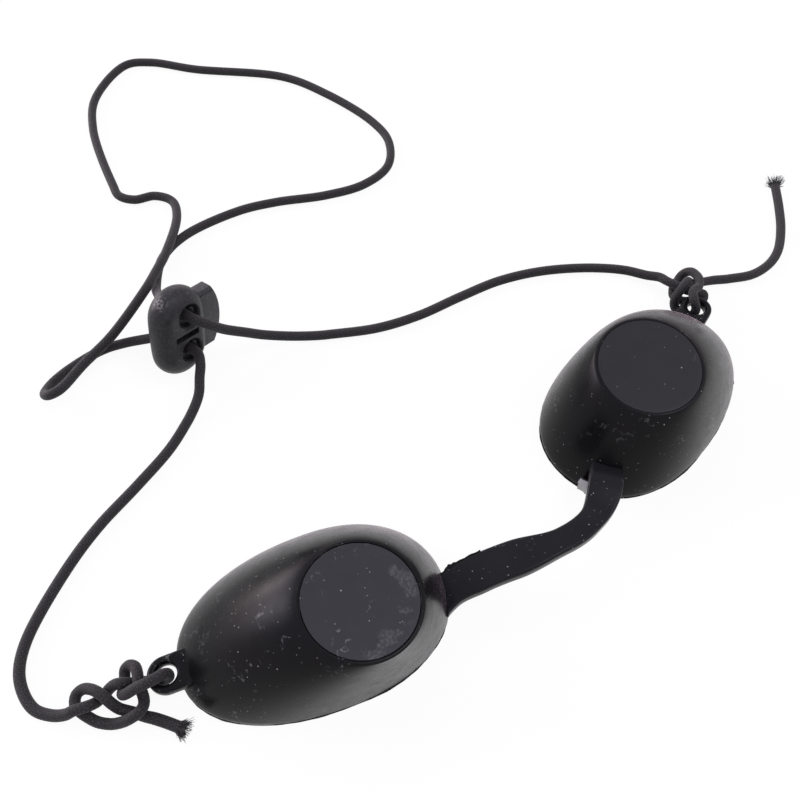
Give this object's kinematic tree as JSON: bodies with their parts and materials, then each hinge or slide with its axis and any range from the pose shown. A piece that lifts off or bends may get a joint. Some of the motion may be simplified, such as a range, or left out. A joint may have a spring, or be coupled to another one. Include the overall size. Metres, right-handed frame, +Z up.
{
  "type": "laser safety eye shields",
  "caption": "Opaque moulded laser eye shields: deep eye cups joined by a nose strap, worn on a thin elastic cord with a sprung cord lock",
  "frame": {"origin": "on the table under the middle of the box round the eye cups, ears and nose strap, with the cups lying on their rims", "axes": "+Z up out of the cups' fronts, +X from the cup at the left of the picture to the one at its right, -Y towards the brow side, where the nose strap bows out"},
  "size_m": [0.2028, 0.1832, 0.0219],
  "materials": {
    "moulding": "matte black moulded rubber, lightly dusty",
    "front_disc": "matte black, scuffed by handling",
    "shield_metal": "thin bright pressed sheet",
    "lock_plastic": "moulded plastic with a soft sheen, worn at one spot of the rim",
    "button_plastic": "moulded plastic, flat satin face",
    "spring_wire": "drawn wire",
    "elastic_cord": "braided sleeve over a rubber core"
  },
  "bodies": {
    "goggles": {"left_eyecup": "moulding", "right_eyecup": "moulding", "nose_bridge": "moulding", "left_front_disc": "front_disc", "right_front_disc": "front_disc", "left_inner_shield": "shield_metal", "right_inner_shield": "shield_metal", "cord_lock_body": "lock_plastic", "cord_lock_spring": "spring_wire", "cord_left_run": "elastic_cord", "cord_back_loop": "elastic_cord", "cord_right_run": "elastic_cord", "left_knot": "elastic_cord", "right_knot": "elastic_cord", "left_tail": "elastic_cord", "right_tail": "elastic_cord"},
    "lock_button": {"cord_lock_button": "button_plastic"}
  },
  "joints": [
    {"name": "button_press", "type": "slide", "parent": "goggles", "child": "lock_button", "axis": [-0.9316, -0.2565, 0.2574], "range_m": [0, 0.0024], "stiffness_N_per_m": 600, "springref_m": -0.002, "deforming": ["cord_lock_spring"]}
  ]
}
